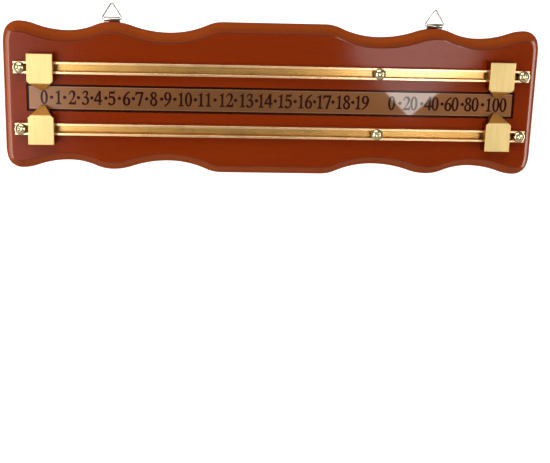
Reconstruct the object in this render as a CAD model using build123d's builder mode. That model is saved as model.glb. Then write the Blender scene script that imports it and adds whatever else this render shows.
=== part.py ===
from build123d import *
from math import asin, degrees, radians, sin
import os

# Billiard scoreboard: a wavy wooden plaque with a scale plate and two lipped rails, on each of which
# two pointed markers slide. Two strap hangers with wire rings hold it on a wall.
# Millimetres. X runs along the board, Z is up, the front faces -Y and the back face lies at Y = 0.

# Board
board_length = 600.0
board_height = 171.6
board_thickness = 18.0
middle_run = 243.0          # from the board's end to where the straight middle stops
inner_notch_inset = 183.0   # from the board's end to the lowest point of the inner notch
crest_inset = 120.0         # from the board's end to the crest that carries the hanger
outer_notch_inset = 71.0
inner_notch_depth = 12.9    # below the straight middle
crest_drop = 2.2
outer_notch_depth = 12.4
corner_drop = 2.9
middle_bend = 0.29          # share of each wave that its first arc takes
rise_bend = 0.66
fall_bend = 0.39
corner_bend = 0.67
corner_radius = 16.5
end_radius = 45.0
end_turn = 15.2             # degrees that the board's end turns before it meets the corner

# Moulded front edge and bevelled back edge
moulding_width = 11.5
moulding_depth = 16.3
nose_width = 1.8
nose_depth = 3.2
cove_sag = 1.4
back_bevel = 1.2

# Scale plate and its groove
plate_inset = 30.5
plate_height = 25.0
plate_thickness = 1.2
plate_gap = 0.5
plate_recess = 0.8          # below the wood's face
groove_edge = 0.4

# Rails
rail_end_margin = 4.5       # from the moulding's crease to each rail's end
rail_offset = 34.0          # from the middle of the plate to the middle of each rail
rail_width = 13.2
rail_height = 8.0
rail_wall = 1.2
rail_floor = 1.5
lip_width = 2.6
lip_thickness = 1.2
lip_round = 0.4

# Rail screws
end_screw_inset = 6.5       # from the rail's end
middle_screw_inset = 183.5  # from the board's right end
rail_screw_head = 12.8
rail_screw_head_height = 4.4
rail_screw_shank = 4.0
rail_screw_depth = 10.0     # into the wood
screw_gap = 0.1             # round each shank
pan_crown = 0.62            # share of a pan head's width that its flat crown takes
pan_rim = 0.45              # share of its height that its straight rim takes

# Sliding markers
left_marker_gap = 3.1       # between a marker and the head of the end screw
right_marker_gap = 6.1
marker_width = 28.0
marker_length = 41.5        # from the far end to the point
marker_back = 16.0          # from the far end to the middle of the rail
marker_shoulder = 30.0      # from the far end to where the sides turn in
marker_face = 32.5          # from the far end to where the face slopes down
marker_roof = 7.7           # over the rail groove
marker_tip_width = 4.6
marker_tip_height = 2.0     # of the point above the wood
marker_lift = 0.5           # between the wood and the marker
marker_edge = 0.5

# Foot and pad of each marker
running_gap = 0.3
foot_side_gap = 0.3
neck_gap = 0.4
groove_gap = 0.4
foot_length = 24.0
flange_thickness = 2.2
pad_length = 20.0
pad_width = 7.0
tenon_length = 8.0          # along the rail
tenon_width = 3.0
tenon_depth = 5.0           # in the marker
tenon_gap = 0.1             # round the tenon

# Hangers
strap_width = 17.3
strap_length = 39.5         # from the eye's axis to the rounded end
strap_thickness = 1.2
strap_round = 7.6
eye_bore = 2.6
eye_clear = 0.4             # between the eye and the top of the board
first_screw_drop = 10.8     # below the board's crest
hanger_screw_pitch = 14.2
hanger_screw_head = 8.8
hanger_screw_head_height = 2.8
hanger_screw_shank = 3.4
hanger_screw_depth = 11.0
ring_wire = 1.6
ring_reach = 3.15           # beyond the strap on each side
ring_height = 18.9
ring_bend = 1.8
ring_bend_runs = 3          # short straight runs through each bend
ring_sides = 12             # of the wire
ring_joint = 0.3            # where the wire's ends meet inside the eye

# Places that follow from the sizes
half_length = board_length / 2
middle_z = board_height / 2
crest_z = middle_z - crest_drop
inner_notch_z = middle_z - inner_notch_depth
outer_notch_z = middle_z - outer_notch_depth
corner_z = middle_z - corner_drop
corner_turn = 90 - end_turn
corner_share = sin(radians(corner_turn))
corner_x = half_length - corner_radius * corner_share - end_radius * (1 - corner_share)
crest_x = half_length - crest_inset
plate_length = board_length - 2 * plate_inset
groove_depth = plate_thickness + plate_recess
rail_length = board_length - 2 * (moulding_width + rail_end_margin)
end_screw_x = rail_length / 2 - end_screw_inset
screw_places = (-end_screw_x, half_length - middle_screw_inset, end_screw_x)
marker_stop_x = end_screw_x - rail_screw_head / 2 - marker_width / 2
left_marker_x = left_marker_gap - marker_stop_x
right_marker_x = marker_stop_x - right_marker_gap
marker_far = rail_offset + marker_back
groove_ceiling = rail_height + running_gap
marker_height = groove_ceiling + marker_roof
flange_top = rail_height - lip_thickness - running_gap
flange_bottom = flange_top - flange_thickness
flange_width = rail_width - 2 * rail_wall - 2 * foot_side_gap
neck_width = rail_width - 2 * lip_width - 2 * neck_gap
pad_bottom = rail_floor + running_gap
eye_radius = eye_bore / 2 + strap_thickness
eye_y = strap_thickness - eye_radius
eye_z = crest_z + eye_clear + eye_radius
ring_base = strap_width + 2 * ring_reach
hanger_screw_levels = (crest_z - first_screw_drop, crest_z - first_screw_drop - hanger_screw_pitch)

os.makedirs("parts", exist_ok=True)


def front(x=0.0, side=1):
    """Plane on the wood's face: its Z leaves the face and its Y points away from the plate on that side."""
    return Plane(origin=(x, -board_thickness, 0), x_dir=(side, 0, 0), z_dir=(0, -1, 0))


def across(x, side, z=0.0):
    """Plane across the rails: its X points away from the plate on that side and its Y leaves the wood."""
    return Plane(origin=(x, -board_thickness, z), x_dir=(0, 0, side), z_dir=(side, 0, 0))


def wave(start, end, bend):
    """Two tangent arcs from one level point of the outline to the next."""
    run, rise = end[0] - start[0], end[1] - start[1]
    reach = (run**2 + rise**2) / (2 * abs(rise))
    turn = degrees(asin(run / reach)) * (1 if rise > 0 else -1)
    first = JernArc(start, (1, 0), reach * bend, turn)
    return JernArc(first @ 1, first % 1, reach * (1 - bend), -turn)


# Backboard: wavy outline, coved front edge, bevelled back edge, groove for the plate and pilot holes
with BuildLine(Plane.XZ) as rim:
    middle_end = (half_length - middle_run, middle_z)
    Line((0, middle_z), middle_end)
    wave(middle_end, (half_length - inner_notch_inset, inner_notch_z), middle_bend)
    wave((half_length - inner_notch_inset, inner_notch_z), (crest_x, crest_z), rise_bend)
    wave((crest_x, crest_z), (half_length - outer_notch_inset, outer_notch_z), fall_bend)
    wave((half_length - outer_notch_inset, outer_notch_z), (corner_x, corner_z), corner_bend)
    corner = JernArc((corner_x, corner_z), (1, 0), corner_radius, -corner_turn)
    end = JernArc(corner @ 1, corner % 1, end_radius, -end_turn)
    Line(end @ 1, (half_length, 0))
    mirror(about=Plane.XY)
    mirror(about=Plane.YZ)

with BuildPart() as backboard:
    with BuildSketch(Plane.XZ):
        add(rim.line)
        make_face()
    extrude(amount=board_thickness)
    chamfer(backboard.faces().sort_by(Axis.Y)[-1].edges(), back_bevel)
    with BuildSketch(Plane.YZ) as moulding:
        crease = (-board_thickness, middle_z - moulding_width)
        nose = (moulding_depth - nose_depth - board_thickness, middle_z - nose_width)
        foot_of_nose = (moulding_depth - board_thickness, middle_z)
        outside = middle_z + moulding_width
        before = -board_thickness - moulding_depth
        with BuildLine():
            SagittaArc(crease, nose, -cove_sag)
            Polyline(nose, foot_of_nose, (foot_of_nose[0], outside), (before, outside),
                     (before, crease[1]), crease)
        make_face()
    sweep(path=rim.wires()[0], mode=Mode.SUBTRACT)
    with BuildSketch(front()):
        Rectangle(plate_length + 2 * plate_gap, plate_height + 2 * plate_gap)
    extrude(amount=-groove_depth, mode=Mode.SUBTRACT)
    chamfer(backboard.faces().sort_by(Axis.Y)[0].inner_wires()[0].edges(), groove_edge)
    with BuildSketch(front()):
        with Locations([(x, side * rail_offset) for x in screw_places for side in (1, -1)]):
            Circle(rail_screw_shank / 2 + screw_gap)
    extrude(amount=-rail_screw_depth - screw_gap, mode=Mode.SUBTRACT)
    with BuildSketch(Plane.XZ):
        with Locations([(x, z) for x in (-crest_x, crest_x) for z in hanger_screw_levels]):
            Circle(hanger_screw_shank / 2 + screw_gap)
    extrude(amount=hanger_screw_depth + screw_gap, mode=Mode.SUBTRACT)
backboard.part.label = "backboard"
export_step(backboard.part, "parts/backboard.step")

# Scale plate, glued to the floor of its groove
with BuildPart() as scale_plate:
    with BuildSketch(front().offset(-groove_depth)):
        Rectangle(plate_length, plate_height)
    extrude(amount=plate_thickness)
scale_plate.part.label = "scale_plate"
export_step(scale_plate.part, "parts/scale_plate.step")

# Rails: lipped channels, open at the front, with a hole in the floor for each screw
for name, side in (("upper_rail", 1), ("lower_rail", -1)):
    with BuildPart() as rail:
        with BuildSketch(across(-rail_length / 2, 1, side * rail_offset)) as section:
            with BuildLine():
                lip_z = rail_width / 2 - lip_width
                wall_z = rail_width / 2 - rail_wall
                Polyline((0, 0), (rail_width / 2, 0), (rail_width / 2, rail_height), (lip_z, rail_height),
                         (lip_z, rail_height - lip_thickness), (wall_z, rail_height - lip_thickness),
                         (wall_z, rail_floor), (0, rail_floor))
                mirror(about=Plane.YZ)
            make_face()
            fillet(section.vertices().group_by(Axis.Y)[-1], lip_round)
        extrude(amount=rail_length)
        with BuildSketch(front()):
            with Locations([(x, side * rail_offset) for x in screw_places]):
                Circle(rail_screw_shank / 2 + screw_gap)
        extrude(amount=rail_floor, mode=Mode.SUBTRACT)
    rail.part.label = name
    export_step(rail.part, f"parts/{name}.step")


def pan_screw(head, height, shank, length):
    """Pan head screw with a plain shank: its head's underside at the origin, its axis on Z."""
    with BuildPart() as screw:
        with BuildSketch(Plane.XZ):
            with BuildLine():
                Polyline((0, height), (head / 2 * pan_crown, height), (head / 2, height * pan_rim),
                         (head / 2, 0), (shank / 2, 0), (shank / 2, -length), (0, -length), close=True)
            make_face()
        revolve(axis=Axis.Z)
    return screw.part


# Rail screws: their heads cover both lips, so they also stop the markers
rail_screw = pan_screw(rail_screw_head, rail_screw_head_height, rail_screw_shank,
                       rail_height + rail_screw_depth)
for name, side in (("upper_rail_screws", 1), ("lower_rail_screws", -1)):
    with BuildPart() as rail_screws:
        with Locations([front(x).offset(rail_height).location * Location((0, side * rail_offset, 0))
                        for x in screw_places]):
            add(rail_screw)
    rail_screws.part.label = name
    export_step(rail_screws.part, f"parts/{name}.step")

# Sliding markers: pointed blocks over the rails. Each has a foot, which runs under the lips and is keyed
# into the block by a tenon, and a friction pad below it.
for place, x, side in (("upper_left", left_marker_x, 1), ("lower_left", left_marker_x, -1),
                       ("upper_right", right_marker_x, 1), ("lower_right", right_marker_x, -1)):
    wood = front(x, side)
    section_plane = across(x, side)

    with BuildPart() as marker:
        with BuildSketch(wood.offset(marker_lift)):
            with BuildLine():
                Polyline((0, marker_far - marker_length), (marker_tip_width / 2, marker_far - marker_length),
                         (marker_width / 2, marker_far - marker_shoulder), (marker_width / 2, marker_far),
                         (0, marker_far))
                mirror(about=Plane.YZ)
            make_face()
        extrude(amount=marker_height - marker_lift)
        with BuildSketch(section_plane):
            with BuildLine():
                Polyline((marker_far - marker_face, marker_height),
                         (marker_far - marker_length, marker_tip_height),
                         (0, marker_tip_height), (0, marker_height), close=True)
            make_face()
            with Locations((rail_offset, 0)):
                Rectangle(rail_width + 2 * groove_gap, groove_ceiling, align=(Align.CENTER, Align.MIN))
        extrude(amount=marker_width, both=True, mode=Mode.SUBTRACT)
        chamfer(marker.faces().sort_by(Axis.Y)[0].edges(), marker_edge)
        with BuildSketch(wood.offset(groove_ceiling)):
            with Locations((0, rail_offset)):
                Rectangle(tenon_length + 2 * tenon_gap, tenon_width + 2 * tenon_gap)
        extrude(amount=tenon_depth + tenon_gap, mode=Mode.SUBTRACT)
    marker.part.label = f"{place}_marker"
    export_step(marker.part, f"parts/{place}_marker.step")

    with BuildPart() as foot:
        with BuildSketch(section_plane):
            with Locations((rail_offset, flange_bottom)):
                Rectangle(flange_width, flange_thickness, align=(Align.CENTER, Align.MIN))
                Rectangle(neck_width, groove_ceiling - flange_bottom, align=(Align.CENTER, Align.MIN))
        extrude(amount=foot_length / 2, both=True)
        with BuildSketch(wood.offset(groove_ceiling)):
            with Locations((0, rail_offset)):
                Rectangle(tenon_length, tenon_width)
        extrude(amount=tenon_depth)
    foot.part.label = f"{place}_foot"
    export_step(foot.part, f"parts/{place}_foot.step")

    with BuildPart() as pad:
        with BuildSketch(wood.offset(pad_bottom)):
            with Locations((0, rail_offset)):
                Rectangle(pad_length, pad_width)
        extrude(amount=flange_bottom - pad_bottom)
    pad.part.label = f"{place}_friction_pad"
    export_step(pad.part, f"parts/{place}_friction_pad.step")

# Hangers: a strap screwed to the back and rolled over the top edge into an eye that holds the wire ring
for place, x in (("left", -crest_x), ("right", crest_x)):
    with BuildPart() as strap:
        with BuildSketch(Plane.YZ.offset(x - strap_width / 2)):
            with Locations((eye_y, eye_z)):
                Circle(eye_radius)
            with Locations((0, eye_z)):
                Rectangle(strap_thickness, strap_length, align=(Align.MIN, Align.MAX))
            with Locations((eye_y, eye_z)):
                Circle(eye_bore / 2, mode=Mode.SUBTRACT)
                Rectangle(-eye_y, eye_radius, align=(Align.MIN, Align.MAX), mode=Mode.SUBTRACT)
        extrude(amount=strap_width)
        fillet(strap.edges().filter_by(Axis.Y).group_by(Axis.Z)[0], strap_round)
        with BuildSketch(Plane.XZ):
            with Locations([(x, z) for z in hanger_screw_levels]):
                Circle(hanger_screw_shank / 2 + screw_gap)
        extrude(amount=-strap_thickness, mode=Mode.SUBTRACT)
    strap.part.label = f"{place}_hanger_strap"
    export_step(strap.part, f"parts/{place}_hanger_strap.step")

    with BuildLine(Plane.XZ.offset(-eye_y)) as wire:
        FilletPolyline((x - ring_joint / 2, eye_z), (x - ring_base / 2, eye_z), (x, eye_z + ring_height),
                       (x + ring_base / 2, eye_z), (x + ring_joint / 2, eye_z), radius=ring_bend)
    stops = [bend @ (step / ring_bend_runs) for bend in wire.edges().filter_by(GeomType.CIRCLE)
             for step in range(ring_bend_runs + 1)]
    with BuildPart() as ring:
        with BuildLine() as runs:
            Polyline(wire.line @ 0, *stops, wire.line @ 1)
        with BuildSketch(Plane(origin=runs.line @ 0, z_dir=runs.line % 0)):
            RegularPolygon(ring_wire / 2, ring_sides)
        sweep(transition=Transition.RIGHT)
    ring.part.label = f"{place}_hanger_ring"
    export_step(ring.part, f"parts/{place}_hanger_ring.step")

# Hanger screws, two through each strap
hanger_screw = pan_screw(hanger_screw_head, hanger_screw_head_height, hanger_screw_shank,
                         strap_thickness + hanger_screw_depth)
with BuildPart() as hanger_screws:
    with Locations([Plane(origin=(x, strap_thickness, z), z_dir=(0, 1, 0))
                    for x in (-crest_x, crest_x) for z in hanger_screw_levels]):
        add(hanger_screw)
hanger_screws.part.label = "hanger_screws"
export_step(hanger_screws.part, "parts/hanger_screws.step")
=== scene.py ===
# %% [markdown]
# # A billiard scoreboard in Blender
# A lacquered wooden board with a wavy rim carries an engraved scale plate and two brass rails. Four
# pointed markers slide on the rails, and two nickel hangers hold the board on a wall. The engineering
# model gives every size and every joint. This lesson dresses it: it carves the soft parts that a CAD
# solid keeps plain, adds the figures and the screws, and gives each surface its finish.

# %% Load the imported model
import math
import bmesh
import bpy
from mathutils import Matrix, Vector


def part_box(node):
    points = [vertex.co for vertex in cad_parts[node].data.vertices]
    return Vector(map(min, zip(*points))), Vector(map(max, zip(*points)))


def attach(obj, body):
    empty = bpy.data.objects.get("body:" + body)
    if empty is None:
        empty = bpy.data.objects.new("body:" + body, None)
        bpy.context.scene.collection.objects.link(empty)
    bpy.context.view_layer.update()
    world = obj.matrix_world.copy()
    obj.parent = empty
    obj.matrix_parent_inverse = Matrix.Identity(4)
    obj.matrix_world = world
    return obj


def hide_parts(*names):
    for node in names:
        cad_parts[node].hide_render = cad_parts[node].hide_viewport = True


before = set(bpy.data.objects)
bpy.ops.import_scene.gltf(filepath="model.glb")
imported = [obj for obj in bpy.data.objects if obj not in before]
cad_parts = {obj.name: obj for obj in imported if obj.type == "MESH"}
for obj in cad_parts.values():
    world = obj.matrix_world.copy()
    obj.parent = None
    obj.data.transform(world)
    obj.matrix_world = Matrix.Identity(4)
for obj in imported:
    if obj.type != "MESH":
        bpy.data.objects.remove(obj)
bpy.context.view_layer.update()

# %% [markdown]
# Loading leaves every part selected, and an operator acts on all that is selected. So everything is
# deselected first, and `only` picks the one object that the next operator shapes. Sizes are easier to
# read in millimetres, as on a drawing, while Blender works in metres here, so one factor turns them over.

# %% Select one object, and count in millimetres
MM = 0.001


def only(piece):
    bpy.ops.object.select_all(action="DESELECT")
    piece.select_set(True)
    bpy.context.view_layer.objects.active = piece


def add_object(name, data):
    """A new object that holds that data, linked into the scene."""
    thing = bpy.data.objects.new(name, data)
    bpy.context.scene.collection.objects.link(thing)
    return thing


bpy.ops.object.select_all(action="DESELECT")
print("one millimetre is", MM, "metres")

# %% [markdown]
# ## The camera
# The photograph looks at the board almost straight on, a little from above and left of its middle. The
# board hangs in the upper half of the picture, so the lens is shifted down instead of tilting the camera,
# as a photographer does with a view camera to keep upright lines upright.

# %% Place the camera
camera = add_object("camera", bpy.data.cameras.new("camera"))
camera.location = (-0.05745, -0.93535, 0.1479)
camera.rotation_euler = (1.36912, -0.024172, -0.039424)
camera.data.lens = 54.605
camera.data.shift_x = 0.0318
camera.data.shift_y = -0.173
camera.data.clip_start = 0.01
bpy.context.scene.camera = camera
bpy.context.scene.view_settings.view_transform = "Standard"
print("lens", round(camera.data.lens, 1), "mm")

# %% [markdown]
# ## Colours as they are seen
# A colour picked from a screen is stored on a curved scale, while a shader wants the amount of light.
# `tint` takes the three familiar numbers from 0 to 255 and gives back the light.


# %% Turn screen colours into light
def tint(red, green, blue):
    def light(value):
        value = value / 255
        return value / 12.92 if value < 0.04 else ((value + 0.055) / 1.055) ** 2.4
    return (light(red), light(green), light(blue), 1.0)


WHITE = (1.0, 1.0, 1.0, 1.0)
BLACK = (0.0, 0.0, 0.0, 1.0)
print("mid grey lets", round(tint(128, 128, 128)[0], 3), "of the light back")

# %% [markdown]
# ## Effects that several finishes share
# Brush lines, rubbed edges that also carry a painted highlight, and finger marks turn up on more than one
# material, and wood grain has two patterns that belong together. Each is built once as a node group with
# named inputs and outputs. The group only puts out patterns. The shader stays in each material, so every
# finish decides what a pattern does.


# %% Helpers for node trees
def start_group(name, inputs, outputs):
    group = bpy.data.node_groups.new(name, "ShaderNodeTree")
    for label, kind, value in inputs:
        socket = group.interface.new_socket(label, in_out="INPUT", socket_type=kind)
        socket.default_value = value
    for label in outputs:
        group.interface.new_socket(label, in_out="OUTPUT", socket_type="NodeSocketFloat")
    return group, group.nodes.new("NodeGroupInput"), group.nodes.new("NodeGroupOutput")


def add_node(tree, kind, settings=(), values=()):
    node = tree.nodes.new(kind)
    for key, value in dict(settings).items():
        setattr(node, key, value)
    for key, value in dict(values).items():
        node.inputs[key].default_value = value
    return node


def stretched_noise(tree, scale, detail, roughness=0.5):
    """Noise on Object coordinates, each axis scaled by the vector that the socket gives."""
    place = add_node(tree, "ShaderNodeTexCoord")
    stretch = add_node(tree, "ShaderNodeVectorMath", {"operation": "MULTIPLY"})
    noise = add_node(tree, "ShaderNodeTexNoise", {},
                     {"Scale": 1.0, "Detail": detail, "Roughness": roughness})
    tree.links.new(place.outputs["Object"], stretch.inputs[0])
    tree.links.new(scale, stretch.inputs[1])
    tree.links.new(stretch.outputs["Vector"], noise.inputs["Vector"])
    return noise.outputs["Fac"]


def remap(tree, source, low, high, to_low=0.0, to_high=1.0):
    """Stretch the values between low and high over to_low to to_high, and stop there."""
    node = add_node(tree, "ShaderNodeMapRange", {}, {"From Min": low, "From Max": high,
                                                    "To Min": to_low, "To Max": to_high})
    tree.links.new(source, node.inputs["Value"])
    return node.outputs["Result"]


def calculate(tree, operation, *values):
    """A Math node on values that are numbers or other nodes' sockets."""
    node = add_node(tree, "ShaderNodeMath", {"operation": operation})
    for socket, value in zip(node.inputs, values):
        if isinstance(value, float):
            socket.default_value = value
        else:
            tree.links.new(value, socket)
    return node.outputs["Value"]


def multiply(tree, first, second):
    return calculate(tree, "MULTIPLY", first, second)


def split_axes(tree, coordinates="Object"):
    """X, Y and Z of a point, or with "Normal" or "Generated" of the direction of a surface or a ray."""
    place = add_node(tree, "ShaderNodeTexCoord")
    axes = add_node(tree, "ShaderNodeSeparateXYZ")
    tree.links.new(place.outputs[coordinates], axes.inputs["Vector"])
    return axes.outputs


# Noise seldom leaves this range, so a pattern is stretched from here to between 0 and 1.
COMMON_NOISE = (0.3, 0.7)
print("helpers ready")

# %% [markdown]
# **Wood grain.** Real grain is long, soft streaks with short dark pores between them. Both are the same
# noise, stretched along the board by scaling its axes unevenly: few cycles along, many across.

# %% Wood grain group
grain, grain_in, grain_out = start_group(
    "wood_grain",
    [("Streak Scale", "NodeSocketVector", (5.0, 60.0, 60.0)),
     ("Pore Scale", "NodeSocketVector", (90.0, 1900.0, 1900.0))],
    ["Streaks", "Pores"])
streaks = stretched_noise(grain, grain_in.outputs["Streak Scale"], 5.0, 0.6)
pores = stretched_noise(grain, grain_in.outputs["Pore Scale"], 2.0)
grain.links.new(remap(grain, streaks, *COMMON_NOISE), grain_out.inputs["Streaks"])
grain.links.new(remap(grain, pores, 0.56, 0.74), grain_out.inputs["Pores"])
print("grain group has", len(grain.nodes), "nodes")

# %% [markdown]
# **Brush lines.** Metal that was drawn or rubbed in one direction carries fine parallel lines. They are
# very long noise cells along the stroke and hair-thin ones across it. A second, wider band lets groups of
# lines differ from each other.

# %% Brush line group
brushing, brush_in, brush_out = start_group(
    "brush_lines",
    [("Line Scale", "NodeSocketVector", (12.0, 2600.0, 2600.0)),
     ("Band Scale", "NodeSocketVector", (6.0, 420.0, 420.0))],
    ["Lines", "Bands"])
lines = stretched_noise(brushing, brush_in.outputs["Line Scale"], 3.0, 0.65)
bands = stretched_noise(brushing, brush_in.outputs["Band Scale"], 2.0)
brushing.links.new(remap(brushing, lines, *COMMON_NOISE), brush_out.inputs["Lines"])
brushing.links.new(remap(brushing, bands, *COMMON_NOISE), brush_out.inputs["Bands"])
print("brush group has", len(brushing.nodes), "nodes")

# %% [markdown]
# ** Rubbed edges.** Lacquer and plating wear where two faces meet. A Bevel node asks how far the surface
# normal would turn if the edge were rounded, and where it turns a lot, there is an edge. Noise breaks the
# line up, because wear is never even. The finishes paint these edges paler, which is wear and also a
# painted highlight along the edge.

# %% Rubbed edge group
edge_wear_and_highlight, wear_in, wear_out = start_group(
    "edge_wear_and_highlights",
    [("Width", "NodeSocketFloat", 0.0006), ("Patch Scale", "NodeSocketVector", (140.0, 140.0, 140.0))],
    ["Mask"])
rounded = add_node(edge_wear_and_highlight, "ShaderNodeBevel", {"samples": 6})
surface = add_node(edge_wear_and_highlight, "ShaderNodeNewGeometry")
turn = add_node(edge_wear_and_highlight, "ShaderNodeVectorMath", {"operation": "DOT_PRODUCT"})
edge_wear_and_highlight.links.new(wear_in.outputs["Width"], rounded.inputs["Radius"])
edge_wear_and_highlight.links.new(rounded.outputs["Normal"], turn.inputs[0])
edge_wear_and_highlight.links.new(surface.outputs["Normal"], turn.inputs[1])
on_edges = remap(edge_wear_and_highlight, turn.outputs["Value"], 0.995, 0.85)
in_patches = remap(edge_wear_and_highlight, stretched_noise(edge_wear_and_highlight, wear_in.outputs["Patch Scale"], 4.0), 0.35, 0.65)
edge_wear_and_highlight.links.new(multiply(edge_wear_and_highlight, on_edges, in_patches), wear_out.inputs["Mask"])
print("wear group has", len(edge_wear_and_highlight.nodes), "nodes")

# %% [markdown]
# **Finger marks.** A scoreboard is handled all evening. Soft, uneven patches change how sharply the
# surface reflects, which is what a thumb print does to polished metal. At other sizes the same pattern
# clouds the bronze and spots the small parts.

# %% Finger mark group
marks, marks_in, marks_out = start_group(
    "finger_marks", [("Mark Scale", "NodeSocketVector", (45.0, 45.0, 45.0))], ["Marks"])
smear = stretched_noise(marks, marks_in.outputs["Mark Scale"], 6.0, 0.55)
marks.links.new(remap(marks, smear, 0.35, 0.68), marks_out.inputs["Marks"])
print("mark group has", len(marks.nodes), "nodes")

# %% [markdown]
# ## Finishes
# Each material starts from a Principled shader. The numbers that are the same all over, such as how clear
# the lacquer is, are typed on the shader's own sockets. What changes over the surface comes from the
# groups.


# %% Helpers for materials
def start_material(name, **values):
    material = bpy.data.materials.new(name)
    material.use_nodes = True
    tree = material.node_tree
    shader = tree.nodes["Principled BSDF"]
    for key, value in values.items():
        shader.inputs[key.replace("_", " ")].default_value = value
    return material, tree, shader


def use_group(tree, group, **values):
    node = add_node(tree, "ShaderNodeGroup", {"node_tree": group})
    for key, value in values.items():
        node.inputs[key.replace("_", " ")].default_value = value
    return node.outputs


# A Mix node has one pair of A and B sockets for each kind of data, so the colour pair is looked up by type.
def blend_colours(tree, amount, first, second):
    node = add_node(tree, "ShaderNodeMix", {"data_type": "RGBA"})
    first_socket, second_socket = [socket for socket in node.inputs if socket.type == "RGBA"]
    for socket, value in ((node.inputs[0], amount), (first_socket, first), (second_socket, second)):
        if isinstance(value, tuple):
            socket.default_value = value
        else:
            tree.links.new(value, socket)
    return next(socket for socket in node.outputs if socket.type == "RGBA")


def raise_bumps(tree, shader, height, distance, strength, soften=0.0):
    """Bumps of that height in metres. soften rounds the edges that light sees by that radius."""
    bump = add_node(tree, "ShaderNodeBump", {}, {"Distance": distance, "Strength": strength})
    tree.links.new(height, bump.inputs["Height"])
    if soften:
        edge = add_node(tree, "ShaderNodeBevel", {"samples": 6}, {"Radius": soften})
        tree.links.new(edge.outputs["Normal"], bump.inputs["Normal"])
    tree.links.new(bump.outputs["Normal"], shader.inputs["Normal"])


def wash(tree, pattern, low, high):
    """Values from low to high, as the pattern goes from 0 to 1: used for roughness."""
    return remap(tree, pattern, 0.0, 1.0, low, high)


print("material helpers ready")

# %% [markdown]
# ** Lacquered wood.** The face is a deep red-brown. The moulded rim is painted lighter, as painted light on
# it, and the crease between the two is painted darker, as painted shade. Because the board is flat, its
# depth from the front says where a point is, so a colour ramp over that depth paints face, crease,
# moulding, side, bevel and back without any picture; the side is painted near black, as painted shade.
# The groove of the plate is as deep as part of the moulding, so it gets a mask of its own: painted shade
# within its length and height.

# %% Lacquered wood
board_thickness = 18.0
# Share of the way from the front face to the back one, and the colour there: the stain, with painted light
# on the moulding and painted shade in the crease and on the side
STAIN_LIGHT_AND_SHADE = ((0.0, (128, 42, 4)), (0.004, (128, 42, 4)), (0.025, (104, 34, 6)), (0.07, (126, 46, 10)),
         (0.20, (148, 60, 15)), (0.62, (156, 69, 21)), (0.80, (148, 62, 19)), (0.90, (100, 36, 10)),
         (0.94, (52, 16, 6)), (0.985, (52, 16, 6)), (1.0, (124, 40, 2)))
# The reach of the groove's painted shade in millimetres: its depths from the back of the board, and its
# half sizes
groove_front, groove_floor = -17.9, -15.0
groove_half_sizes = {"X": 276.0, "Z": 16.0}
fade = 0.1

wood, tree, shader = start_material(
    "lacquered_wood", Coat_Weight=0.25, Coat_Roughness=0.1, Specular_IOR_Level=0.0)
axes = split_axes(tree)
depth = remap(tree, axes["Y"], -board_thickness * MM, 0.0)
# This ramp paints the moulding lighter as painted light, and the crease and the side darker as painted
# shade
stain_light_and_shade = add_node(tree, "ShaderNodeValToRGB")
tree.links.new(depth, stain_light_and_shade.inputs["Fac"])
stops = stain_light_and_shade.color_ramp.elements
stops.remove(stops[1])
for count, (step, colour) in enumerate(STAIN_LIGHT_AND_SHADE):
    stop = stops[0] if count == 0 else stops.new(step)
    stop.position, stop.color = step, tint(*colour)
grain_of = use_group(tree, grain)
groove_painted_shade = multiply(tree, remap(tree, axes["Y"], groove_front * MM, (groove_front + fade) * MM),
                     remap(tree, axes["Y"], groove_floor * MM, (groove_floor - fade) * MM))
for axis, limit in groove_half_sizes.items():
    inside = remap(tree, calculate(tree, "ABSOLUTE", axes[axis]), (limit + fade) * MM, limit * MM)
    groove_painted_shade = multiply(tree, groove_painted_shade, inside)
# The groove is painted nearly black: a painted shade in the recess
colour = blend_colours(tree, groove_painted_shade, stain_light_and_shade.outputs["Color"], tint(36, 6, 0))
colour = blend_colours(tree, multiply(tree, grain_of["Streaks"], 0.22), colour, tint(92, 24, 4))
colour = blend_colours(tree, multiply(tree, grain_of["Pores"], 0.35), colour, tint(58, 14, 4))
# The edges are painted paler: wear, and also a painted highlight along them
wood_wear_and_highlight = use_group(tree, edge_wear_and_highlight, Width=0.0009)["Mask"]
colour = blend_colours(tree, multiply(tree, wood_wear_and_highlight, 0.35), colour, tint(176, 104, 62))
tree.links.new(colour, shader.inputs["Base Color"])
smudged = use_group(tree, marks)["Marks"]
tree.links.new(wash(tree, smudged, 0.28, 0.33), shader.inputs["Roughness"])
raise_bumps(tree, shader, grain_of["Pores"], -0.00002, 0.3)
print(wood.name, "ramp has", len(stops), "stops")

# %% [markdown]
# ** Brushed metal.** The rails, the screws and the markers are brass. What differs is the tone, the way
# that the lines run, and how much they blur a reflection. One function makes them all, since only the
# numbers differ. Their edges are painted paler, which is wear and also a painted highlight. On the rails
# the lines run along the board and the metal is nearly a mirror, and the lips that stand in front of the
# channel are painted paler still, as a painted highlight.


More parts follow.
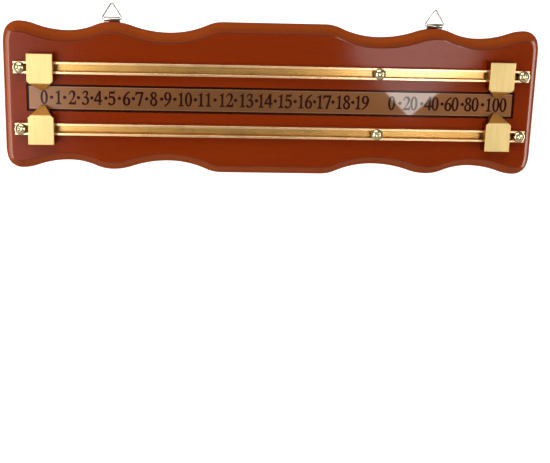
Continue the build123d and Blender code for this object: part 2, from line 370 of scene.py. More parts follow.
# %% Polished gold and screw brass
def brushed_metal(name, colour, shade, line_scale, band_scale, polish, wear_and_highlight_colour, soften, contrast,
                  **values):
    """Lines and bands of shade over colour. polish is the roughness between and on the lines."""
    material, tree, shader = start_material(name, Metallic=1.0, **values)
    strokes = use_group(tree, brushing, Line_Scale=line_scale, Band_Scale=band_scale)
    toned = blend_colours(tree, multiply(tree, strokes["Bands"], 0.45 * contrast), colour, shade)
    toned = blend_colours(tree, multiply(tree, strokes["Lines"], 0.30 * contrast), toned, shade)
    # The edges get a pale tone: wear, and also a painted highlight along them
    worn_and_lit_edges = use_group(tree, edge_wear_and_highlight, Width=0.0005)["Mask"]
    toned = blend_colours(tree, multiply(tree, worn_and_lit_edges, 0.6), toned, wear_and_highlight_colour)
    smudged = use_group(tree, marks)["Marks"]
    dull = calculate(tree, "ADD", wash(tree, strokes["Lines"], *polish), multiply(tree, smudged, 0.04))
    tree.links.new(toned, shader.inputs["Base Color"])
    tree.links.new(dull, shader.inputs["Roughness"])
    raise_bumps(tree, shader, strokes["Lines"], 0.00001, 0.5 * contrast, soften)
    return material, tree, shader, toned, dull


rail_gold, tree, shader, toned, dull = brushed_metal(
    "polished_gold", colour=tint(226, 174, 94), shade=tint(190, 138, 62),
    line_scale=(12.0, 2600.0, 2600.0), band_scale=(5.0, 420.0, 420.0), polish=(0.23, 0.31),
    wear_and_highlight_colour=tint(255, 226, 170), soften=0.0003, contrast=1.0, Coat_Weight=1.0, Coat_Roughness=0.12)
lip_level, lip_fade = -24.75, 0.05
lip_highlight = remap(tree, split_axes(tree)["Y"], (lip_level + lip_fade) * MM, (lip_level - lip_fade) * MM)
# The lips are painted paler: a painted highlight on them
toned = blend_colours(tree, multiply(tree, lip_highlight, 0.85), toned, tint(255, 212, 158))
tree.links.new(toned, shader.inputs["Base Color"])

screw_gold = brushed_metal(
    "screw_brass", colour=tint(222, 210, 166), shade=tint(178, 160, 116),
    line_scale=(700.0, 700.0, 700.0), band_scale=(120.0, 120.0, 120.0), polish=(0.06, 0.12),
    wear_and_highlight_colour=tint(255, 244, 214), soften=0.0002, contrast=0.6)[0]
print(rail_gold.name, screw_gold.name)

# %% [markdown]
# ** Marker gold.** The front of a marker and its sloping point are satin, with lines that run up and down.
# Its sides are polished, so they mirror the dark wood beside them, and they are also painted darker, as a
# painted reflection of it. The surface's own direction tells them apart: the more it points to the front,
# the more satin it is and the paler it is painted, so the point carries a painted reflection too.


# %% Marker gold
def facing_front(tree, share):
    """1 where at least that share of the surface's direction points to the front, and 0 elsewhere."""
    return remap(tree, split_axes(tree, "Normal")["Y"], 0.05 - share, -0.05 - share)


marker_gold, tree, shader, toned, dull = brushed_metal(
    "satin_gold", colour=tint(220, 195, 134), shade=tint(198, 166, 108),
    line_scale=(1500.0, 1500.0, 30.0), band_scale=(300.0, 300.0, 14.0), polish=(0.44, 0.54),
    wear_and_highlight_colour=tint(255, 246, 214), soften=0.0004, contrast=0.8)
side_polish = 0.2
satin_and_lit_front = facing_front(tree, 0.4)
# The sides are painted dark and the point tan: painted reflections, chosen by which way the surface faces
point = blend_colours(tree, satin_and_lit_front, tint(168, 116, 56), tint(234, 182, 98))
tree.links.new(blend_colours(tree, facing_front(tree, 0.85), point, toned), shader.inputs["Base Color"])
polished = add_node(tree, "ShaderNodeMix", {"data_type": "FLOAT"})
tree.links.new(satin_and_lit_front, polished.inputs["Factor"])
polished.inputs["A"].default_value = side_polish
tree.links.new(dull, polished.inputs["B"])
tree.links.new(polished.outputs["Result"], shader.inputs["Roughness"])
print(marker_gold.name)

# %% [markdown]
# ** Bronze plate.** The scale is a bronze sheet under clear lacquer: warm brown, cloudy where the bronze
# has toned, and painted lighter in a narrow line along its long edges, as a painted highlight where the
# sheet was bevelled.

# %% Bronze plate
edge_from, edge_to = 11.4, 12.0
bronze, tree, shader = start_material("bronze_plate", Metallic=0.65, Coat_Weight=1.0, Coat_Roughness=0.03)
clouds = use_group(tree, marks, Mark_Scale=(38.0, 38.0, 38.0))["Marks"]
strokes = use_group(tree, brushing, Line_Scale=(30.0, 1500.0, 1500.0))
colour = blend_colours(tree, multiply(tree, clouds, 0.6), tint(116, 70, 25), tint(124, 73, 20))
colour = blend_colours(tree, multiply(tree, strokes["Lines"], 0.25), colour, tint(88, 50, 18))
height = calculate(tree, "ABSOLUTE", split_axes(tree)["Z"])
# A narrow line along the long edges is painted paler: a painted highlight
edge_highlight = multiply(tree, remap(tree, height, edge_from * MM, edge_to * MM), 0.5)
colour = blend_colours(tree, edge_highlight, colour, tint(150, 112, 80))
tree.links.new(colour, shader.inputs["Base Color"])
tree.links.new(wash(tree, clouds, 0.34, 0.44), shader.inputs["Roughness"])
raise_bumps(tree, shader, strokes["Lines"], 0.00001, 0.4)
print(bronze.name)

# %% [markdown]
# ** Nickel, black steel, plain steel, enamel and felt.** The small parts need their own finishes too.
# Nickel is pale and mirror-like, black steel is oxidised and a little rough, the etched figures are
# filled with dark enamel, and felt is matt with a fibre pattern. They differ only in numbers, so one
# function makes them: spots of a shade over a colour, and a paler tone on the edges, which is wear and
# also a painted highlight.


# %% Finishes of the small parts
def plain_finish(name, colour, shade, spots_per_metre, roughness, bump, **values):
    material, tree, shader = start_material(name, **values)
    spots = use_group(tree, marks, Mark_Scale=(spots_per_metre,) * 3)["Marks"]
    worn_and_lit_edges = use_group(tree, edge_wear_and_highlight, Width=0.0004)["Mask"]
    bright = tuple(min(1.0, value * 2) for value in colour[:3]) + (1.0,)
    toned = blend_colours(tree, spots, colour, shade)
    # The edges are painted paler: wear, and also a painted highlight along them
    toned = blend_colours(tree, multiply(tree, worn_and_lit_edges, 0.4), toned, bright)
    tree.links.new(toned, shader.inputs["Base Color"])
    tree.links.new(wash(tree, spots, *roughness), shader.inputs["Roughness"])
    raise_bumps(tree, shader, spots, bump, 0.5)
    return material


nickel = plain_finish("nickel_plate", tint(192, 187, 176), tint(160, 153, 141), 260.0,
                      (0.10, 0.22), 0.00001, Metallic=1.0)
black_steel = plain_finish("black_steel", tint(34, 32, 32), tint(52, 50, 48), 500.0,
                           (0.30, 0.46), 0.00002, Metallic=0.6)
plain_steel = plain_finish("plain_steel", tint(150, 150, 148), tint(118, 116, 112), 320.0,
                           (0.30, 0.45), 0.00001, Metallic=1.0)
enamel = plain_finish("dark_enamel", tint(40, 9, 2), tint(48, 14, 4), 900.0,
                      (0.4, 0.5), 0.00001, Specular_IOR_Level=0.0, Coat_Weight=0.55, Coat_Roughness=0.03)
felt = plain_finish("felt", tint(36, 60, 44), tint(52, 84, 60), 2600.0,
                    (0.9, 1.0), 0.00015, Sheen_Weight=0.5)
print("small finishes ready")

# %% [markdown]
# ## The carved board
# The board is sawn to a wavy outline, then a cutter runs round its front edge and leaves a hollow
# moulding with a rounded nose. The drawing gives the outline as arcs that flow into each other. The same
# arcs are stepped finely here, so the rim is smooth where a light runs along it.

# %% The board's measures, in millimetres
half_length = 300.0
middle_z = 85.8
moulding_width = 11.5
moulding_depth = 16.3
nose_width = 1.8
nose_depth = 3.2
cove_sag = 1.4
back_bevel = 1.2
middle_end = (57.0, middle_z)
inner_notch = (117.0, 72.9)
crest = (180.0, 83.6)
outer_notch = (229.0, 73.4)
corner_z = 82.9
corner_radius = 16.5
end_radius = 45.0
corner_turn = math.radians(74.8)
corner_x = half_length - corner_radius * math.sin(corner_turn) - end_radius * (1 - math.sin(corner_turn))
print("the corner starts at x =", round(corner_x, 2))


# %% Points along the rim
def wave_points(start, end, bend, steps=12):
    """Points along the two arcs from one level point of the rim to the next, without the first point."""
    run, rise = end[0] - start[0], end[1] - start[1]
    reach = (run**2 + rise**2) / (2 * abs(rise))
    turn = math.asin(run / reach)
    up = 1 if rise > 0 else -1
    first, second = reach * bend, reach * (1 - bend)
    angles = [turn * step / steps for step in range(1, steps + 1)]
    leaving = [(start[0] + first * math.sin(a), start[1] + up * first * (1 - math.cos(a))) for a in angles]
    arriving = [(end[0] - second * math.sin(a), end[1] - up * second * (1 - math.cos(a)))
                for a in reversed([0.0] + angles[:-1])]
    return leaving + arriving


def corner_points(corner_steps=12, end_steps=6):
    """Points round the corner and down the end to where it runs straight."""
    turns = [corner_turn * step / corner_steps for step in range(1, corner_steps + 1)]
    points = [(corner_x + corner_radius * math.sin(a), corner_z - corner_radius * (1 - math.cos(a)))
              for a in turns]
    x, z = points[-1]
    for step in range(1, end_steps + 1):
        heading = corner_turn + (math.pi / 2 - corner_turn) * step / end_steps
        points.append((x + end_radius * (math.sin(heading) - math.sin(corner_turn)),
                       z - end_radius * (math.cos(corner_turn) - math.cos(heading))))
    return points


quarter = [(middle_end[0] * step / 4, middle_z) for step in range(5)]
quarter += wave_points(middle_end, inner_notch, 0.29)
quarter += wave_points(inner_notch, crest, 0.66)
quarter += wave_points(crest, outer_notch, 0.39)
quarter += wave_points(outer_notch, (corner_x, corner_z), 0.67)
quarter += corner_points()
upper = [(-x, z) for x, z in reversed(quarter[1:])] + quarter
rim = upper + [(half_length, 0.0)] + [(x, -z) for x, z in reversed(upper)] + [(-half_length, 0.0)]
rim.reverse()
print("the rim has", len(rim), "points, width", 2 * half_length)

# %% [markdown]
# A circle with as many corners as the rim has points is added and pulled onto the rim. In edit mode it is
# extruded back for the sides. Then the front face is inset again and again. Each inset steps in by a bit
# and forward by a bit, so a short list of steps draws the section of the moulding, as a row of gouge cuts
# would.


# %% Shape a face by repeated insets
def pick_faces(piece, wanted):
    """In edit mode, select only the faces that pass the test."""
    mesh = bmesh.from_edit_mesh(piece.data)
    bpy.ops.mesh.select_mode(type="FACE")
    for face in mesh.faces:
        face.select_set(bool(wanted(face)))
    mesh.select_flush_mode()
    bmesh.update_edit_mesh(piece.data)


def pick_edges(piece, wanted):
    """In edit mode, select only the edges whose two ends both pass the test."""
    bpy.ops.mesh.select_mode(type="EDGE")
    mesh = bmesh.from_edit_mesh(piece.data)
    for edge in mesh.edges:
        edge.select_set(all(wanted(vertex.co) for vertex in edge.verts))
    bmesh.update_edit_mesh(piece.data)


def step_in(profile):
    """Inset the selected face along a section: points (in from the rim, forward), in millimetres."""
    for (inset, rise), (next_inset, next_rise) in zip(profile, profile[1:]):
        bpy.ops.mesh.inset(thickness=(next_inset - inset) * MM, depth=(next_rise - rise) * MM)


turns = [math.radians(15 * step) for step in range(6)]
nose = [(nose_width * (1 - math.cos(a)), nose_depth * math.sin(a)) for a in turns]
nose = [(x * nose_width / nose[-1][0], z * nose_depth / nose[-1][1]) for x, z in nose]
cove_width, cove_depth = moulding_width - nose_width, moulding_depth - nose_depth
chord = math.hypot(cove_width, cove_depth)
cove_steps = 8
cove = []
for step in range(1, cove_steps + 1):
    share = step / cove_steps
    sag = 4 * cove_sag * share * (1 - share)
    cove.append((cove_width * share + nose_width + sag * cove_depth / chord,
                 cove_depth * share + nose_depth - sag * cove_width / chord))
moulding = nose + cove
print("the moulding has", len(moulding), "steps")

# %% Carve the board
bpy.ops.mesh.primitive_circle_add(vertices=len(rim), radius=0.1, fill_type="NGON")
board = bpy.context.active_object
for vertex, (x, z) in zip(board.data.vertices, rim):
    vertex.co = (x * MM, (moulding_depth - board_thickness) * MM, z * MM)
bpy.ops.object.mode_set(mode="EDIT")
bpy.ops.mesh.select_all(action="SELECT")
side_depth = board_thickness - moulding_depth - back_bevel
bpy.ops.mesh.extrude_region_move(TRANSFORM_OT_translate={"value": (0, side_depth * MM, 0)})
bpy.ops.mesh.select_all(action="SELECT")
bpy.ops.mesh.normals_make_consistent(inside=False)
pick_faces(board, lambda face: face.normal.y > 0.9)
step_in([(0.0, 0.0), (0.35, 0.6), (back_bevel, back_bevel)])
pick_faces(board, lambda face: face.normal.y < -0.9 and len(face.verts) > 4)
step_in(moulding)
bpy.ops.object.mode_set(mode="OBJECT")
print("board:", len(board.data.polygons), "faces")

# %% [markdown]
# The plate lies in a shallow groove. A box is subtracted from the board with a Boolean modifier, which is
# the quickest way to sink one shape into another, and the groove's rim is bevelled a little, as a router
# leaves it. Smooth shading would bend the light on the big flat face near its edges, so a Weighted Normal
# modifier gives the large faces the last word.


# %% Sink the groove for the plate
def apply_modifier(piece, name, kind, **settings):
    only(piece)
    modifier = piece.modifiers.new(name, kind)
    for key, value in settings.items():
        setattr(modifier, key, value)
    bpy.ops.object.modifier_apply(modifier=name)


def cut_out(piece, cutter):
    apply_modifier(piece, "cut", "BOOLEAN", operation="DIFFERENCE", object=cutter, solver="EXACT")
    bpy.data.objects.remove(cutter)


plate_low, plate_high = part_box("scale_plate")
groove_gap = 2.5 * MM
groove_depth = 2.0 * MM
groove_edge = 0.4 * MM
hair = 1e-5
face_y = -board_thickness * MM
groove_size = (plate_high.x - plate_low.x + 2 * groove_gap, 2 * groove_depth,
               plate_high.z - plate_low.z + 2 * groove_gap)
bpy.ops.mesh.primitive_cube_add(size=1.0)
groove = bpy.context.active_object
groove.data.transform(Matrix.Translation((0, face_y, 0)) @ Matrix.Diagonal((*groove_size, 1.0)))
cut_out(board, groove)
bpy.ops.object.mode_set(mode="EDIT")
pick_edges(board, lambda end: (abs(end.y - face_y) < hair and abs(end.x) < groove_size[0] / 2 + hair
                               and abs(end.z) < groove_size[2] / 2 + hair))
bpy.ops.mesh.bevel(offset=groove_edge, segments=3)
bpy.ops.object.mode_set(mode="OBJECT")
only(board)
bpy.ops.object.shade_smooth_by_angle(angle=math.radians(24))
apply_modifier(board, "even_light", "WEIGHTED_NORMAL", keep_sharp=True)
print("board with its groove:", len(board.data.polygons), "faces")

# %% [markdown]
# Every finished piece goes through the same steps: it gets its name and material, rides on the body that
# carries it, and takes the place of the plain CAD node that it was made for.


# %% Give a piece its finish and its place
def finish_piece(piece, name, material, body, slot, *nodes):
    piece.name = name
    piece.data.name = name
    piece.data.materials.clear()
    piece.data.materials.append(material)
    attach(piece, body)
    if nodes:
        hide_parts(*nodes)
    return piece


finish_piece(board, "carved_backboard", wood, "board", "lacquered_wood", "backboard")

# %% [markdown]
# ## The scale
# The figures are narrow old-style numerals, etched into the plate and filled with dark enamel. A built-in
# typeface would be too plain, so each numeral is drawn as a pen outline on a height of 100 units. A point
# marked as a corner keeps its angle, and the others flow. The thick and thin of the strokes is the
# distance between the outer line and the inner one.


# %% Draw the numerals
def oval(x, y, half_width, half_height, points=12):
    turns = [2 * math.pi * step / points for step in range(points)]
    return [(x + half_width * math.cos(a), y + half_height * math.sin(a)) for a in turns]


C = "corner"
NUMERALS = {
    "0": [oval(0, 50, 25, 51.5), oval(0, 50, 12.5, 45.5)],
    "1": [[(-18, 87, C), (-8, 91), (6.5, 102, C), (6.5, 14), (9, 6), (18, 4, C), (18, 0, C), (-18, 0, C),
           (-18, 4, C), (-9, 6), (-6.5, 14), (-6.5, 80), (-9, 85), (-18, 83, C)]],
    "2": [[(-24, 73, C), (-21, 86), (-12, 97), (1, 101.5), (14, 96.5), (21.5, 84), (21, 69), (14, 52),
           (2, 34), (-12, 14, C), (12, 14), (20, 17), (24, 28, C), (27, 28, C), (23, 0, C), (-26, 0, C),
           (-26, 4, C), (-9, 25), (3, 45), (8, 61), (8.5, 74), (5.5, 85), (-2, 92), (-12, 90), (-18, 83),
           (-21, 73, C)]],
    "3": [[(-21, 79, C), (-17, 91), (-8, 99), (3, 101.5), (14, 97), (19, 86), (16, 73), (6, 60, C),
           (16, 53), (23, 42), (24.5, 27), (20, 12), (8, 1), (-7, -2), (-20, 1), (-25, 8), (-24, 15),
           (-18, 17), (-13, 11), (-7, 5), (1, 4), (8.5, 10), (12, 21), (11.5, 33), (7, 44), (-2, 50),
           (-12, 51, C), (-12, 55, C), (-2, 59), (5, 66), (8, 76), (6.5, 87), (0, 93), (-8, 92),
           (-14, 87), (-17.5, 78, C)]],
    "4": [[(9, 102, C), (19, 102, C), (19, 35, C), (29, 35, C), (29, 25, C), (19, 25, C), (19, 0, C),
           (6, 0, C), (6, 25, C), (-29, 25, C), (-29, 32, C)], [(6, 35, C), (-20, 35, C), (6, 80, C)]],
    "5": [[(-16, 99, C), (12, 99), (22, 104, C), (17, 86, C), (-12, 86, C), (-14, 65), (-3, 66),
           (9, 63.5), (20, 54), (25, 38), (22.5, 20), (13, 6), (-2, -2), (-16, -1), (-24, 5), (-24, 13),
           (-18, 15), (-12, 10), (-5, 5), (3, 7), (10, 15), (12.5, 28), (11, 42), (4, 52), (-6, 55),
           (-14, 52), (-20, 48, C)]],
    "6": [[(22, 102, C), (8, 94), (-8, 79), (-19, 60), (-25, 36), (-21, 14), (-10, 1), (2, -2), (16, 3),
           (25, 17), (26.5, 33), (21, 49), (10, 57.5), (0, 57), (-10, 51, C), (-5, 65), (5, 81), (14, 90),
           (25, 97, C)], oval(1.5, 28, 12.5, 24)],
    "7": [[(-27, 99, C), (28, 99, C), (28, 94, C), (2, -2, C), (-10, -2, C), (16, 87, C), (-12, 87),
           (-20, 84), (-26, 74, C), (-29, 74, C)]],
    "8": [[(0, 101.5), (14, 97), (21, 84), (18.5, 69), (10, 57), (20, 45), (25.5, 27), (20, 8), (0, -2),
           (-20, 8), (-25.5, 27), (-21, 41), (-11, 51), (-19, 65), (-21.5, 82), (-14, 96)],
           oval(1, 79, 10, 16), oval(-1, 27, 14, 22)],
    ".": [oval(0, 50, 10.5, 10.5)],
}
NUMERALS["9"] = [[(-p[0], 99.5 - p[1], *p[2:]) for p in line] for line in NUMERALS["6"]]
print("numerals drawn:", " ".join(sorted(NUMERALS)))

# %% [markdown]
# Each outline becomes a filled flat curve. A corner point gets straight handles and every other point
# gets automatic ones, which is how a pen tool rounds a line. The curve is turned into a mesh before it is
# stood up and placed, so its object stays at the origin.


# %% Set the figures on the plate
def draw_numeral(mark, stroke_gain=2.3):
    """A flat mesh of that numeral, 100 units high. stroke_gain makes its strokes bolder."""
    curve = bpy.data.curves.new("numeral", "CURVE")
    curve.dimensions, curve.fill_mode = "2D", "BOTH"
    curve.resolution_u, curve.offset = 5, stroke_gain
    for line in NUMERALS[mark]:
        spline = curve.splines.new("BEZIER")
        spline.bezier_points.add(len(line) - 1)
        spline.use_cyclic_u = True
        for point, place in zip(spline.bezier_points, line):
            point.co = (place[0], place[1] - 50, 0)
            kind = "VECTOR" if len(place) == 3 else "AUTO"
            point.handle_left_type = point.handle_right_type = kind
    only(add_object("numeral", curve))
    bpy.ops.object.convert(target="MESH")
    bpy.ops.object.mode_set(mode="EDIT")
    bpy.ops.mesh.select_all(action="SELECT")
    bpy.ops.mesh.remove_doubles(threshold=0.01)
    bpy.ops.object.mode_set(mode="OBJECT")
    return bpy.context.active_object


def join_pieces(pieces):
    bpy.ops.object.select_all(action="DESELECT")
    for piece in pieces:
        piece.select_set(True)
    bpy.context.view_layer.objects.active = pieces[0]
    bpy.ops.object.join()
    return bpy.context.active_object


figure_height = 14.9
figure_pitch = 8.15
figure_level = 0.5
etch_depth = 0.03
patterns = {mark: draw_numeral(mark) for mark in NUMERALS}
stand_up = Matrix.Rotation(math.pi / 2, 4, "X") @ Matrix.Scale(figure_height / 100 * MM, 4)


def set_mark(mark, x):
    placed = add_object("figure", patterns[mark].data.copy())
    middle = (x * MM, plate_low.y - etch_depth * MM, figure_level * MM)
    placed.data.transform(Matrix.Translation(middle) @ stand_up)
    return placed


# Where each number and each dot has its middle along the plate, in millimetres
NUMBER_PLACES = {0: -253.1, 1: -237.4, 2: -222.4, 3: -207.9, 4: -194.2, 5: -179.0, 6: -163.0, 7: -148.6,
                 8: -132.9, 9: -117.2, 10: -98.5, 11: -76.3, 12: -52.8, 13: -30.3, 14: -9.5, 15: 12.8,
                 16: 35.2, 17: 56.3, 18: 78.2, 19: 99.4}
GAME_PLACES = {0: 133.1, 20: 154.2, 40: 178.3, 60: 201.0, 80: 223.8, 100: 251.6}
DOT_PLACES = (-245.0, -230.6, -215.6, -200.9, -185.5, -170.7, -155.2, -140.6, -124.1, -109.5, -86.7, -64.9,
              -42.1, -18.7, 2.2, 24.4, 46.2, 66.9, 89.2, 142.5, 167.1, 190.3, 213.4, 236.4)
figures = [set_mark(".", x) for x in DOT_PLACES]
for places in (NUMBER_PLACES, GAME_PLACES):
    for number, middle in places.items():
        text = str(number)
        first = middle - (len(text) - 1) / 2 * figure_pitch
        figures += [set_mark(mark, first + count * figure_pitch) for count, mark in enumerate(text)]
for pattern in patterns.values():
    bpy.data.objects.remove(pattern)
scale_figures = join_pieces(figures)
finish_piece(scale_figures, "scale_figures", enamel, "board", "bronze_plate")
print("the scale has", len(figures), "marks")

# %% [markdown]
# ## Screws
# Three brass screws hold each rail, and two black ones hold each hanger. They are the same kind: a low
# domed head with a cross recess. A cylinder is the start. Its top is stepped in along an arc for the
# dome, its underside is inset and pulled down into the shank, and two thin wedges are subtracted for the
# recess. A small Bevel modifier then breaks the edges, because it is the edges that catch the light on
# real screws.


# %% Model one screw
def break_edges(piece, width, angle):
    """Round the edges that turn by more than that angle."""
    apply_modifier(piece, "soft_edges", "BEVEL", width=width * MM, segments=2, limit_method="ANGLE",
                   angle_limit=math.radians(angle))


def turned_screw(head, height, rim_height, shank, length, slot_length, slot_width, slot_depth):
    """A cross-recessed screw in millimetres: its head's underside at the origin, its axis on Z."""
    bpy.ops.mesh.primitive_cylinder_add(vertices=56, radius=head / 2 * MM, depth=rim_height * MM)
    screw = bpy.context.active_object
    screw.data.transform(Matrix.Translation((0, 0, rim_height / 2 * MM)))
    bpy.ops.object.mode_set(mode="EDIT")
    pick_faces(screw, lambda face: face.normal.z > 0.9)
    turns = [math.radians(9 * step) for step in range(10)]
    step_in([(head / 2 * (1 - math.cos(a)), (height - rim_height) * math.sin(a)) for a in turns])
    pick_faces(screw, lambda face: face.normal.z < -0.9)
    bpy.ops.mesh.inset(thickness=(head - shank) / 2 * MM, depth=0.0)
    bpy.ops.mesh.extrude_region_move(TRANSFORM_OT_translate={"value": (0, 0, -length * MM)})
    bpy.ops.object.mode_set(mode="OBJECT")
    above_head = 0.3
    for turned in (0.0, math.pi / 2):
        bpy.ops.mesh.primitive_cube_add(size=1.0)
        wedge = bpy.context.active_object
        for vertex in wedge.data.vertices:
            low = vertex.co.z < 0
            vertex.co.x *= slot_length * MM * (0.45 if low else 1.0)
            vertex.co.y *= slot_width * MM * (0.75 if low else 1.0)
            vertex.co.z = (height - slot_depth if low else height + above_head) * MM
        wedge.data.transform(Matrix.Rotation(turned, 4, "Z"))
        cut_out(screw, wedge)
    break_edges(screw, 0.12, 35)
    bpy.ops.object.shade_smooth_by_angle(angle=math.radians(40))
    return screw


def place_screws(pattern, places, turn, angles, name, material, slot, node):
    """Copies of one screw, each with its own mesh and its own turn of the recess, joined as one piece."""
    copies = []
    for place, angle in zip(places, angles):
        copy = add_object(name, pattern.data.copy())
        recess_turn = Matrix.Rotation(math.radians(angle), 4, "Z")
        copy.data.transform(Matrix.Translation(place) @ turn @ recess_turn)
        copies.append(copy)
    return finish_piece(join_pieces(copies), name, material, "board", slot, node)


print("one function turns both kinds of screw")

# %% [markdown]
# A hand-driven screw stops wherever it is tight, so each recess is turned by its own angle. The heads of
# the rail screws rest on the lips of the rails, and those of the hanger screws on the straps.

# %% Rail screws and hanger screws
rail_level = 34.0
rail_front = -26.0
rail_screw_x = (-277.5, 116.5, 277.5)
hanger_x = 180.0
hanger_screw_z = (72.8, 58.6)
strap_thickness = 1.2

rail_screw = turned_screw(head=12.8, height=4.4, rim_height=1.3, shank=4.0, length=17.5,
                          slot_length=7.6, slot_width=1.9, slot_depth=2.9)
to_front = Matrix.Rotation(math.pi / 2, 4, "X")
for side, level, angles in (("upper", rail_level, (20, 12, 50)), ("lower", -rail_level, (40, 25, 10))):
    places = [(x * MM, rail_front * MM, level * MM) for x in rail_screw_x]
    place_screws(rail_screw, places, to_front, angles, side + "_rail_brass_screws", screw_gold,
                 "polished_gold", side + "_rail_screws")
bpy.data.objects.remove(rail_screw)

hanger_screw = turned_screw(head=8.8, height=2.8, rim_height=1.0, shank=3.4, length=11.5,
                            slot_length=4.8, slot_width=1.1, slot_depth=1.6)
to_back = Matrix.Rotation(-math.pi / 2, 4, "X")
places = [(x * MM, strap_thickness * MM, z * MM) for x in (-hanger_x, hanger_x) for z in hanger_screw_z]
place_screws(hanger_screw, places, to_back, (15, 62, 38, 5), "hanger_black_screws", black_steel,
             "black_steel", "hanger_screws")
bpy.data.objects.remove(hanger_screw)
print("screws placed")

# %% [markdown]
# ## Hangers
# A hanger is a nickel strap with a rolled eye. A flat rectangle stands for the sheet. Its two lower
# corners are rounded, and its top edge is spun round the eye's axis, which is what the rolling tool does.
# Solidify gives it the thickness of the sheet, and a fine bevel takes the sharpness off.

# %% Roll a strap
strap_width = 17.3
strap_length = 39.5
strap_round = 7.6
eye_y = -1.3
eye_z = 86.5
eye_turn = math.radians(268)


def rolled_strap(x):
    middle = (x * MM, strap_thickness / 2 * MM, (eye_z - strap_length / 2) * MM)
    bpy.ops.mesh.primitive_plane_add(size=1.0)
    strap = bpy.context.active_object
    strap.data.transform(Matrix.Translation(middle) @ Matrix.Rotation(-math.pi / 2, 4, "X")
                         @ Matrix.Diagonal((strap_width * MM, strap_length * MM, 1, 1)))
    bpy.ops.object.mode_set(mode="EDIT")
    bpy.ops.mesh.select_mode(type="VERT")
    mesh = bmesh.from_edit_mesh(strap.data)
    for vertex in mesh.verts:
        vertex.select_set(vertex.co.z < middle[2])
    mesh.select_flush_mode()
    bmesh.update_edit_mesh(strap.data)
    bpy.ops.mesh.bevel(offset=strap_round * MM, segments=8, affect="VERTICES")
    pick_edges(strap, lambda end: end.z > (eye_z - 0.1) * MM)
    bpy.ops.mesh.spin(steps=20, angle=eye_turn, center=(x * MM, eye_y * MM, eye_z * MM), axis=(1, 0, 0))
    bpy.ops.mesh.select_all(action="SELECT")
    bpy.ops.mesh.remove_doubles(threshold=1e-6)
    bpy.ops.mesh.normals_make_consistent(inside=False)
    bpy.ops.object.mode_set(mode="OBJECT")
    apply_modifier(strap, "sheet", "SOLIDIFY", thickness=strap_thickness * MM, offset=0.0)
    break_edges(strap, 0.2, 40)
    bpy.ops.object.shade_smooth_by_angle(angle=math.radians(35))
    return strap


for side, x in (("left", -hanger_x), ("right", hanger_x)):
    strap = rolled_strap(x)
    finish_piece(strap, side + "_rolled_strap", nickel, "board", "nickel_plate", side + "_hanger_strap")
    print(strap.name, len(strap.data.polygons), "faces")

# %% [markdown]
# The ring is one bent wire. Three corners of a triangle are rounded with a vertex bevel, the outline
# becomes a curve, and the curve's own bevel sweeps a round section along it. So the wire is smooth all
# the way.

# %% Bend the rings
ring_half_width = 11.8
ring_top = 105.15
ring_bend = 3.0
wire_radius = 0.8


def wire_ring(x):
    corners = ((-ring_half_width, eye_z), (0, ring_top), (ring_half_width, eye_z))
    bpy.ops.mesh.primitive_circle_add(vertices=3, radius=0.01)
    ring = bpy.context.active_object
    for vertex, (along, level) in zip(ring.data.vertices, corners):
        vertex.co = ((x + along) * MM, eye_y * MM, level * MM)
    bpy.ops.object.mode_set(mode="EDIT")
    bpy.ops.mesh.select_all(action="SELECT")
    bpy.ops.mesh.bevel(offset=ring_bend * MM, segments=8, affect="VERTICES")
    bpy.ops.object.mode_set(mode="OBJECT")
    bpy.ops.object.convert(target="CURVE")
    ring = bpy.context.active_object
    ring.data.bevel_depth, ring.data.bevel_resolution = wire_radius * MM, 4
    bpy.ops.object.convert(target="MESH")
    bpy.ops.object.shade_smooth()
    return bpy.context.active_object


for side, x in (("left", -hanger_x), ("right", hanger_x)):
    ring = finish_piece(wire_ring(x), side + "_wire_ring", nickel, side + "_ring", "nickel_plate",
                        side + "_hanger_ring")
    print(ring.name, len(ring.data.polygons), "faces")

# %% [markdown]
# ## Parts that keep their CAD shape
# The plate, the rails, the markers, their feet and their felt pads already have the right shape, so they
# only get their finish: the material goes into the slot of the object itself.

# %% Dress the remaining nodes
FINISHES = {"scale_plate": bronze, "upper_rail": rail_gold, "lower_rail": rail_gold}
for place in ("upper_left", "lower_left", "upper_right", "lower_right"):
    FINISHES[place + "_marker"] = marker_gold
    FINISHES[place + "_foot"] = plain_steel
    FINISHES[place + "_friction_pad"] = felt
for name, material in FINISHES.items():
    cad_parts[name].data.materials.clear()
    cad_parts[name].data.materials.append(material)
print(len(FINISHES), "nodes dressed")

# %% [markdown]
# ## Studio
# The board stands in front of a white sweep: a floor that curves up into a backdrop. Seen directly, or in
# a mirror, the sweep adds a little light of its own and looks white, while the board's shadow stays on
# it. Nothing extra shines on the board, because that part of the light is only there for camera and
# glossy rays. Mirrors see it darker near the board than far behind it, as they would a real floor.

# %% Floor and backdrop
floor_level = -0.85
floor_size = (9.0, 5.2)
floor_back = 2.2
curve_radius = 0.8
wall_height = 2.4

bpy.ops.mesh.primitive_plane_add(size=1.0)
sweep = bpy.context.active_object
sweep.data.transform(Matrix.Translation((0, floor_back - floor_size[1] / 2, floor_level))
                     @ Matrix.Diagonal((*floor_size, 1, 1)))
bpy.ops.object.mode_set(mode="EDIT")
pick_edges(sweep, lambda end: end.y > floor_back - 0.1)
bpy.ops.mesh.spin(steps=16, angle=math.pi / 2, center=(0, floor_back, floor_level + curve_radius),
                  axis=(1, 0, 0))
bpy.ops.mesh.extrude_region_move(TRANSFORM_OT_translate={"value": (0, 0, wall_height)})
bpy.ops.object.mode_set(mode="OBJECT")
only(sweep)
bpy.ops.object.shade_smooth()
sweep.name = "studio_sweep"

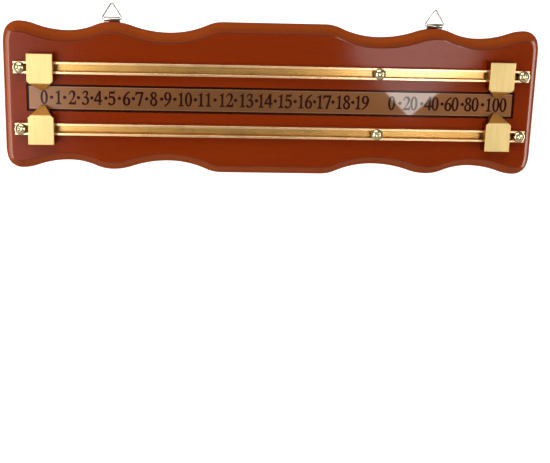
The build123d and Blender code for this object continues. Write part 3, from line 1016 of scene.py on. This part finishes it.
paper, tree, shader = start_material("studio_paper", Roughness=0.9, Specular_IOR_Level=0.1)
rays = add_node(tree, "ShaderNodeLightPath").outputs
mirrored = calculate(tree, "MAXIMUM", rays["Is Glossy Ray"], rays["Is Transmission Ray"])
mirror_level = remap(tree, split_axes(tree)["Y"], 1.0, 2.6, 0.1, 0.8)
seen = calculate(tree, "MAXIMUM", rays["Is Camera Ray"], multiply(tree, mirrored, mirror_level))
tooth = use_group(tree, marks, Mark_Scale=(3.0, 3.0, 3.0))["Marks"]
paper_grey = blend_colours(tree, tooth, tint(166, 166, 166), tint(172, 172, 172))
tree.links.new(paper_grey, shader.inputs["Base Color"])
shader.inputs["Emission Color"].default_value = WHITE
tree.links.new(seen, shader.inputs["Emission Strength"])
sweep.data.materials.append(paper)
print("sweep:", len(sweep.data.polygons), "faces")

# %% [markdown]
# Seven soft boxes light the board. One stands high in front. Those at the sides also show up as soft
# glows in the lacquer: the left one fades out towards the middle of the board, and the right one is a
# small square turned on its corner, which leaves a pale triangle on the polished plate. Two stand behind
# the board's ends and draw a bright line down them, and one lights the back. The world around is a soft
# grey that gets dark towards the camera, as a real studio is, and lacquer and brass need that dark to
# look deep.


# %% Lamps
def soft_box(name, place, aim, width, height, power):
    """An area lamp that stands at a place and faces another, in metres and watts."""
    lamp = bpy.data.lights.new(name, "AREA")
    lamp.shape = "RECTANGLE"
    lamp.size, lamp.size_y, lamp.energy = width, height, power
    holder = add_object(name, lamp)
    holder.location = place
    holder.rotation_euler = (Vector(aim) - Vector(place)).to_track_quat("-Z", "Y").to_euler()
    return holder


soft_box("high_soft_box", (-0.35, -1.25, 1.35), (0.0, 0.0, 0.0), 1.5, 0.9, 20.0)
left_box = soft_box("left_soft_box", (-0.75, -1.5, -0.2), (-0.75, 0.0, -0.2), 1.2, 1.1, 32.0)
diamond = soft_box("right_soft_box", (0.504, -1.5, -0.09), (0.504, -0.522, -0.298), 0.283, 0.283, 2.1)
diamond.rotation_euler.rotate_axis("Z", math.pi / 4)
soft_box("right_fill_box", (1.3, -1.45, -0.1), (0.25, 0.0, 0.0), 0.6, 1.1, 9.0)
soft_box("left_edge_box", (-1.3, 0.38, -0.1), (-0.3, 0.0, 0.0), 0.7, 1.2, 13.0)
soft_box("right_edge_box", (1.25, 0.44, -0.1), (0.3, 0.0, 0.0), 0.5, 1.2, 12.0)
back_box = soft_box("back_soft_box", (0.5, 1.5, 0.7), (0.0, 0.0, 0.0), 1.2, 0.9, 16.0)
back_box.visible_camera = False

left_box.data.use_nodes = True
tree = left_box.data.node_tree
across = add_node(tree, "ShaderNodeSeparateXYZ")
tree.links.new(add_node(tree, "ShaderNodeNewGeometry").outputs["Parametric"], across.inputs["Vector"])
fading = add_node(tree, "ShaderNodeMapRange", {"interpolation_type": "SMOOTHERSTEP"},
                  {"From Min": 0.85, "From Max": 0.25, "To Min": 0.0, "To Max": 1.0})
tree.links.new(across.outputs["X"], fading.inputs["Value"])
tree.links.new(fading.outputs["Result"], tree.nodes["Emission"].inputs["Strength"])

# %% [markdown]
# The room's brightness follows the direction that a ray leaves in. The camera sees plain white instead.

# %% The room around
dark_side, room_strength = 0.12, 0.72
world = bpy.data.worlds.new("studio_room")
bpy.context.scene.world = world
world.use_nodes = True
tree = world.node_tree
room = tree.nodes["Background"]
seen = add_node(tree, "ShaderNodeLightPath").outputs["Is Camera Ray"]
towards_back = remap(tree, split_axes(tree, "Generated")["Y"], -0.9, 0.3, dark_side, 1.0)
grey = blend_colours(tree, towards_back, BLACK, WHITE)
tree.links.new(blend_colours(tree, seen, grey, WHITE), room.inputs["Color"])
tree.links.new(remap(tree, seen, 0.0, 1.0, room_strength, 1.0), room.inputs["Strength"])
print("the room has", len(tree.nodes), "nodes")
